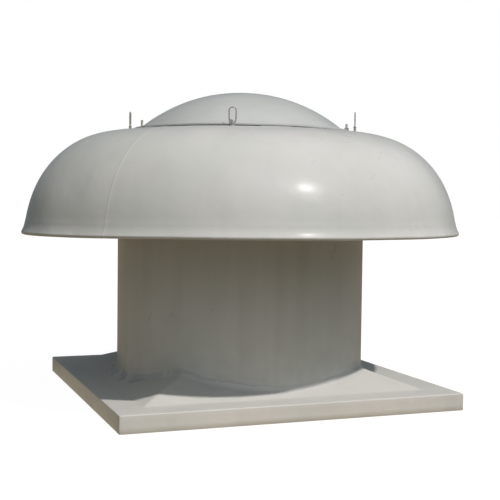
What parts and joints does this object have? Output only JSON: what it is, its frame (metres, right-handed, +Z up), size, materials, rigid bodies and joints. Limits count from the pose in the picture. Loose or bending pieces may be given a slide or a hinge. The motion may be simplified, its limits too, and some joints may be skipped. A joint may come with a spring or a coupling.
{
  "type": "roof exhaust hood fan",
  "caption": "Mushroom-hooded axial roof exhaust fan on a square curb base, with lifting eyes, a direct-drive motor and an impeller in a round throat.",
  "frame": {"origin": "centre of the square base at the foot of its turned-down rim", "axes": "+Z up along the fan's axis; X and Y along the sides of the base"},
  "size_m": [1.107, 1.107, 0.764],
  "materials": {
    "gelcoat": "glossy light grey gelcoat on glass-fibre mouldings",
    "galvanised": "dull galvanised",
    "zinc_fastener": "zinc plated, weathered",
    "rubber": "matte",
    "motor_paint": "satin blue-grey enamel",
    "cast_aluminium": "as cast, lightly dusty",
    "lamination": "varnished laminations",
    "winding": "varnished copper wire",
    "bearing_steel": "ground",
    "black_plastic": "moulded"
  },
  "bodies": {
    "housing": {"base_plate": "gelcoat", "bond_fillet": "gelcoat", "fan_cylinder": "gelcoat", "hood": "gelcoat", "dome_cap": "gelcoat", "curb_gasket": "rubber", "dome_gasket": "rubber", "dome_bolts": "zinc_fastener", "eye_nuts": "zinc_fastener", "post_bolts": "zinc_fastener", "guard_screws": "zinc_fastener", "motor_bolts": "zinc_fastener", "shield_screws": "zinc_fastener", "cowl_screws": "zinc_fastener", "lid_screws": "zinc_fastener", "lifting_eye_1": "zinc_fastener", "support_post_1": "galvanised", "mount_arm_1": "galvanised", "lifting_eye_2": "zinc_fastener", "support_post_2": "galvanised", "mount_arm_2": "galvanised", "lifting_eye_3": "zinc_fastener", "support_post_3": "galvanised", "mount_arm_3": "galvanised", "lifting_eye_4": "zinc_fastener", "support_post_4": "galvanised", "mount_arm_4": "galvanised", "motor_plate": "galvanised", "bird_guard": "galvanised", "motor_housing": "motor_paint", "drive_end_shield": "motor_paint", "rear_end_shield": "motor_paint", "fan_cowl": "motor_paint", "terminal_box": "motor_paint", "terminal_lid": "motor_paint", "stator_core": "lamination", "stator_winding": "winding", "terminal_block": "black_plastic", "cable_gland": "black_plastic", "lower_bearing_outer": "bearing_steel", "upper_bearing_outer": "bearing_steel"},
    "impeller": {"motor_shaft": "bearing_steel", "rotor_core": "lamination", "shaft_key": "bearing_steel", "cooling_fan": "black_plastic", "hub_upper": "cast_aluminium", "hub_lower": "cast_aluminium", "hub_bolts": "zinc_fastener", "shaft_end_bolt": "zinc_fastener", "lower_bearing_inner": "bearing_steel", "upper_bearing_inner": "bearing_steel", "blade_1": "cast_aluminium", "blade_2": "cast_aluminium", "blade_3": "cast_aluminium", "blade_4": "cast_aluminium", "blade_5": "cast_aluminium", "blade_6": "cast_aluminium"},
    "lower_ball_cage": {"lower_bearing_balls": "bearing_steel"},
    "upper_ball_cage": {"upper_bearing_balls": "bearing_steel"}
  },
  "joints": [
    {"name": "impeller_spin", "type": "hinge", "parent": "housing", "child": "impeller", "pos_m": [0, 0, 0.415], "axis": [0, 0, 1], "continuous": true},
    {"name": "lower_balls_roll", "type": "hinge", "parent": "housing", "child": "lower_ball_cage", "pos_m": [0, 0, 0.4775], "axis": [0, 0, 1], "continuous": true},
    {"name": "upper_balls_roll", "type": "hinge", "parent": "housing", "child": "upper_ball_cage", "pos_m": [0, 0, 0.6245], "axis": [0, 0, 1], "continuous": true}
  ],
  "couplings": [
    {"joint": "lower_balls_roll", "follows": "impeller_spin", "ratio": 0.3982},
    {"joint": "upper_balls_roll", "follows": "impeller_spin", "ratio": 0.3982}
  ]
}
